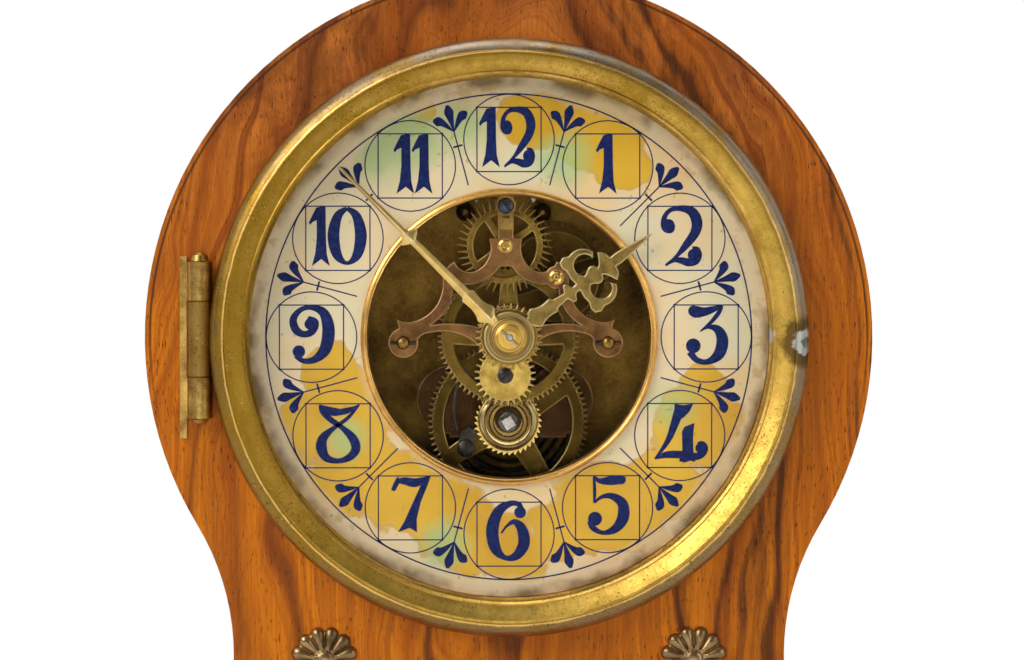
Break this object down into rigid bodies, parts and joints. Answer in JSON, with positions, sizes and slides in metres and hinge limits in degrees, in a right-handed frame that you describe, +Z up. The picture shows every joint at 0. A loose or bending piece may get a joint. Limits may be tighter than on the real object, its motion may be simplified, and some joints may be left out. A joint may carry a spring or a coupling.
{
  "type": "balloon mantel clock",
  "caption": "Balloon-shaped wooden mantel clock with a painted ring dial, open movement, hinged glazed bezel, back door and pendulum",
  "frame": {"origin": "centre of the plinth's footprint, on the surface that the bun feet stand on", "axes": "+Z up, the dial faces -Y, +X to the viewer's right"},
  "size_m": [0.212, 0.13, 0.311],
  "materials": {
    "walnut": "french polished, satin",
    "walnut_dark": "french polished, satin",
    "plain_wood": "planed, unpolished",
    "bezel_brass": "patinated, worn bright on the ridges",
    "dark_brass": "dark patina",
    "aged_brass": "aged",
    "rim_brass": "polished",
    "gold_brass": "bright",
    "plate_brass": "dark, grained",
    "copper_brass": "coppery, matt",
    "wheel_brass": "brushed",
    "hand_brass": "satin",
    "bright_steel": "polished",
    "dark_steel": "dark",
    "blued_steel": "blued",
    "dial_ceramic": "glazed, painted",
    "clear_glass": "clear"
  },
  "bodies": {
    "case": {"plinth": "walnut_dark", "feet": "walnut_dark", "floor_board": "plain_wood", "front_board": "walnut", "side_band": "walnut", "back_board": "plain_wood", "door_hinge_leaf": "aged_brass", "button_screw": "dark_steel", "rosettes": "dark_brass", "hinge_leaf": "dark_brass", "hinge_pin": "aged_brass", "dial_plate": "plate_brass", "dial": "dial_ceramic", "dial_rim": "rim_brass", "back_plate": "plate_brass", "movement_pillars": "plate_brass", "front_plate": "copper_brass", "pivot_bushes": "gold_brass", "plate_pillars": "aged_brass", "taper_pins": "dark_steel", "neck_block": "aged_brass", "neck_screw": "blued_steel", "barrel_bridge": "copper_brass", "back_posts": "plate_brass", "minute_stud": "dark_steel", "mainspring": "blued_steel", "suspension_cock": "plate_brass", "suspension_spring": "bright_steel"},
    "bezel_door": {"bezel": "bezel_brass", "glass": "clear_glass", "sight_ring": "bezel_brass", "bezel_catch": "aged_brass"},
    "rear_door": {"back_door": "walnut_dark", "door_fittings": "aged_brass"},
    "door_button": {"turn_button": "aged_brass"},
    "minute_hand_body": {"minute_hand": "hand_brass", "cannon_pinion": "wheel_brass", "hand_collet": "gold_brass"},
    "minute_wheel_body": {"minute_wheel": "wheel_brass"},
    "hour_hand_body": {"hour_hand": "hand_brass", "hour_wheel": "wheel_brass"},
    "centre_body": {"centre_wheel": "wheel_brass", "centre_arbor": "bright_steel", "hand_pin": "bright_steel"},
    "third_body": {"third_wheel": "wheel_brass", "third_arbor": "bright_steel"},
    "escape_body": {"escape_wheel": "wheel_brass", "escape_arbor": "bright_steel"},
    "great_body": {"great_wheel": "wheel_brass", "click_screw": "dark_steel", "click_spring": "blued_steel"},
    "winding_body": {"ratchet_wheel": "wheel_brass", "winding_arbor": "bright_steel"},
    "click_body": {"click": "dark_steel"},
    "anchor_body": {"anchor": "bright_steel", "anchor_arbor": "bright_steel", "crutch": "bright_steel"},
    "pendulum_body": {"pendulum_rod": "bright_steel"},
    "bob_body": {"pendulum_bob": "wheel_brass"},
    "nut_body": {"rating_nut": "wheel_brass"}
  },
  "joints": [
    {"name": "bezel_hinge", "type": "hinge", "parent": "case", "child": "bezel_door", "pos_m": [-0.083, -0.0537, 0.213], "axis": [0, 0, -1], "range_deg": [0, 110]},
    {"name": "rear_door_hinge", "type": "hinge", "parent": "case", "child": "rear_door", "pos_m": [0.075, 0.0526, 0.205], "axis": [0, 0, -1], "range_deg": [0, 110]},
    {"name": "door_button_turn", "type": "hinge", "parent": "case", "child": "door_button", "pos_m": [-0.0775, 0.056, 0.205], "axis": [0, 1, 0], "range_deg": [-90, 90]},
    {"name": "minute_hand_turn", "type": "hinge", "parent": "case", "child": "minute_hand_body", "pos_m": [0, -0.045, 0.213], "axis": [0, 1, 0], "continuous": true},
    {"name": "minute_wheel_turn", "type": "hinge", "parent": "case", "child": "minute_wheel_body", "pos_m": [-0.00099, -0.044, 0.20252], "axis": [0, 1, 0], "continuous": true},
    {"name": "hour_hand_turn", "type": "hinge", "parent": "case", "child": "hour_hand_body", "pos_m": [0, -0.045, 0.213], "axis": [0, 1, 0], "continuous": true},
    {"name": "centre_wheel_turn", "type": "hinge", "parent": "case", "child": "centre_body", "pos_m": [0, -0.036, 0.213], "axis": [0, 1, 0], "continuous": true},
    {"name": "third_wheel_turn", "type": "hinge", "parent": "case", "child": "third_body", "pos_m": [0.01291, -0.022, 0.22905], "axis": [0, 1, 0], "continuous": true},
    {"name": "escape_wheel_turn", "type": "hinge", "parent": "case", "child": "escape_body", "pos_m": [-0.00098, -0.038, 0.23756], "axis": [0, 1, 0], "continuous": true},
    {"name": "great_wheel_turn", "type": "hinge", "parent": "case", "child": "great_body", "pos_m": [0, -0.032, 0.18949], "axis": [0, 1, 0], "continuous": true},
    {"name": "winding", "type": "hinge", "parent": "great_body", "child": "winding_body", "pos_m": [0, -0.034, 0.18949], "axis": [0, 1, 0], "continuous": true, "deforming": ["mainspring"]},
    {"name": "click_lift", "type": "hinge", "parent": "great_body", "child": "click_body", "pos_m": [-0.0115, -0.0338, 0.18229], "axis": [0, -1, 0], "range_deg": [0, 8], "stiffness_Nm_per_rad": 0.002},
    {"name": "anchor_swing", "type": "hinge", "parent": "case", "child": "anchor_body", "pos_m": [-0.00098, -0.038, 0.25626], "axis": [0, 1, 0], "range_deg": [-4, 4]},
    {"name": "pendulum_swing", "type": "hinge", "parent": "case", "child": "pendulum_body", "pos_m": [-0.00098, 0.022, 0.25626], "axis": [0, 1, 0], "range_deg": [-4, 4], "deforming": ["suspension_spring"]},
    {"name": "bob_slide", "type": "slide", "parent": "pendulum_body", "child": "bob_body", "axis": [0, 0, 1], "range_m": [-0.0015, 0.0015]},
    {"name": "rating_nut_turn", "type": "hinge", "parent": "bob_body", "child": "nut_body", "pos_m": [-0.00098, 0.022, 0.09976], "axis": [0, 0, 1], "range_deg": [-1080, 1080]}
  ],
  "couplings": [
    {"joint": "minute_wheel_turn", "follows": "minute_hand_turn", "ratio": -0.35714},
    {"joint": "hour_hand_turn", "follows": "minute_hand_turn", "ratio": 0.083333},
    {"joint": "centre_wheel_turn", "follows": "minute_hand_turn", "ratio": 1},
    {"joint": "great_wheel_turn", "follows": "minute_hand_turn", "ratio": -0.095238},
    {"joint": "third_wheel_turn", "follows": "minute_hand_turn", "ratio": -11.143},
    {"joint": "escape_wheel_turn", "follows": "minute_hand_turn", "ratio": 115.14},
    {"joint": "anchor_swing", "follows": "pendulum_swing", "ratio": 1},
    {"joint": "rating_nut_turn", "follows": "bob_slide", "rad_per_m": 12566}
  ]
}
